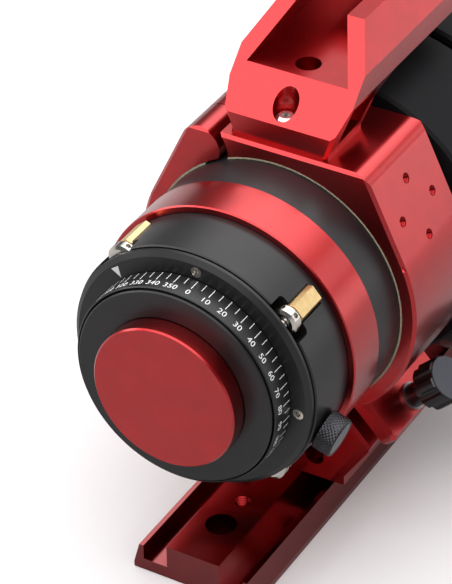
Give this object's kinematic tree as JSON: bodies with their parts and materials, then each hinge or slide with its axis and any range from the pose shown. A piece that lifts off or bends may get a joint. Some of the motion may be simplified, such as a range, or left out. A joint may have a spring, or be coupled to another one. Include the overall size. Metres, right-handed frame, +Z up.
{
  "type": "astrograph refractor telescope",
  "caption": "Short refractor tube in a hinged clamp ring with carrying handle, dovetail bar, dial rotator, tilt adjuster, focuser and sliding dew shield.",
  "frame": {"origin": "on the optical axis, in the plane of the camera seat (rear face of the adapter disc)", "axes": "+Y along the light path towards the sky, +Z up away from the dovetail bar, +X towards the clamp knob"},
  "size_m": [0.136, 0.2895, 0.173],
  "materials": {
    "red_anodised": "satin anodised red",
    "black_anodised": "satin anodised black",
    "black_paint": "fine satin black paint",
    "steel": "turned bright steel",
    "nickel": "bright nickel",
    "brass": "turned brass",
    "felt": "pale wool felt",
    "black_plastic": "moulded matt black",
    "grey_insert": "turned grey",
    "glass": "coated lens glass"
  },
  "bodies": {
    "base": {"cradle_lower": "red_anodised", "felt_lower": "felt", "hinge_pin": "steel", "dovetail_bar": "red_anodised", "dovetail_screws": "steel"},
    "ring_top": {"cradle_upper": "red_anodised", "felt_upper": "felt", "handle_bar": "red_anodised", "handle_screws": "steel"},
    "clamp": {"clamp_screw": "steel", "clamp_washer": "steel", "clamp_knob": "black_plastic", "clamp_knob_face": "grey_insert"},
    "tube": {"main_tube": "black_paint", "rear_band": "red_anodised", "tilt_drum": "black_anodised", "tilt_standoffs": "brass", "tube_baffle": "black_anodised", "focus_body": "black_anodised", "focus_body_screws": "steel", "lens_cell": "black_anodised", "objective_front": "glass", "objective_rear": "glass", "lens_spacer": "black_anodised", "lens_retainer": "black_anodised", "shield_felt": "felt"},
    "tilt_plate": {"rotator_flange": "black_anodised", "flange_screws": "steel", "tilt_bearing": "black_anodised", "tilt_studs": "steel"},
    "rotator": {"adapter_disc": "black_anodised", "dial_ring": "black_anodised", "rotator_sleeve": "black_anodised", "sleeve_keeper": "black_anodised"},
    "dust_cap": {"rear_cap": "red_anodised"},
    "nut_a": {"tilt_nut_a": "nickel"},
    "nut_b": {"tilt_nut_b": "nickel"},
    "nut_c": {"tilt_nut_c": "nickel"},
    "nut_d": {"tilt_nut_d": "nickel"},
    "rotator_lock": {"lock_knob": "black_anodised", "lock_knob_face": "grey_insert"},
    "focus_drive": {"focus_shaft": "steel", "focus_knob_left": "black_anodised", "focus_knob_right": "black_anodised"},
    "fine_focus": {"fine_knob": "black_anodised"},
    "focus_carriage": {"focus_cell": "black_anodised", "focus_rail": "steel", "focus_lens": "glass", "focus_lens_ring": "black_anodised"},
    "shield": {"dew_shield": "black_paint", "shield_trim": "red_anodised"},
    "lens_cap": {"front_cap": "red_anodised"}
  },
  "joints": [
    {"name": "ring_open", "type": "hinge", "parent": "base", "child": "ring_top", "pos_m": [-0.0273, 0.08295, 0.0431], "axis": [0, -1, 0], "range_deg": [0, 95]},
    {"name": "clamp_turn", "type": "hinge", "parent": "ring_top", "child": "clamp", "pos_m": [0.04109, 0.08295, -0.04345], "axis": [0.7266, 0, 0.6871], "continuous": true},
    {"name": "tube_slide", "type": "slide", "parent": "base", "child": "tube", "axis": [0, 1, 0], "range_m": [-0.003, 0.012]},
    {"name": "sensor_tilt", "type": "hinge", "parent": "tube", "child": "tilt_plate", "pos_m": [0, 0.0125, 0], "axis": [-0.6508, 0, 0.7593], "range_deg": [-0.4, 0.4]},
    {"name": "rotator_turn", "type": "hinge", "parent": "tilt_plate", "child": "rotator", "pos_m": [0, 0.009, 0], "axis": [0, 1, 0], "continuous": true},
    {"name": "dust_cap_pull", "type": "slide", "parent": "rotator", "child": "dust_cap", "axis": [0, -1, 0], "range_m": [0, 0.02]},
    {"name": "tilt_nut_a_turn", "type": "hinge", "parent": "tube", "child": "nut_a", "pos_m": [0.03052, 0.0158, 0.02616], "axis": [0, 1, 0], "range_deg": [-180, 180]},
    {"name": "tilt_nut_b_turn", "type": "hinge", "parent": "tube", "child": "nut_b", "pos_m": [0.02616, 0.0158, -0.03052], "axis": [0, 1, 0], "range_deg": [-180, 180]},
    {"name": "tilt_nut_c_turn", "type": "hinge", "parent": "tube", "child": "nut_c", "pos_m": [-0.03052, 0.0158, -0.02616], "axis": [0, 1, 0], "range_deg": [-180, 180]},
    {"name": "tilt_nut_d_turn", "type": "hinge", "parent": "tube", "child": "nut_d", "pos_m": [-0.02616, 0.0158, 0.03052], "axis": [0, 1, 0], "range_deg": [-180, 180]},
    {"name": "rotator_lock_turn", "type": "hinge", "parent": "tube", "child": "rotator_lock", "pos_m": [0.04455, 0.0202, -0.01499], "axis": [0.9478, 0, -0.319], "range_deg": [0, 360]},
    {"name": "focus_turn", "type": "hinge", "parent": "tube", "child": "focus_drive", "pos_m": [0, 0.1265, -0.052], "axis": [1, 0, 0], "range_deg": [-150, 150]},
    {"name": "fine_focus_turn", "type": "hinge", "parent": "tube", "child": "fine_focus", "pos_m": [0.068, 0.1265, -0.052], "axis": [1, 0, 0], "range_deg": [-1500, 1500]},
    {"name": "focus_slide", "type": "slide", "parent": "tube", "child": "focus_carriage", "axis": [0, 1, 0], "range_m": [-0.008, 0.008]},
    {"name": "dew_shield_slide", "type": "slide", "parent": "tube", "child": "shield", "axis": [0, 1, 0], "range_m": [0, 0.07]},
    {"name": "lens_cap_pull", "type": "slide", "parent": "shield", "child": "lens_cap", "axis": [0, 1, 0], "range_m": [0, 0.03]}
  ],
  "couplings": [
    {"joint": "sensor_tilt", "follows": "tilt_nut_a_turn", "ratio": 0.002},
    {"joint": "fine_focus_turn", "follows": "focus_turn", "ratio": 10},
    {"joint": "focus_slide", "follows": "focus_turn", "m_per_rad": -0.003}
  ]
}
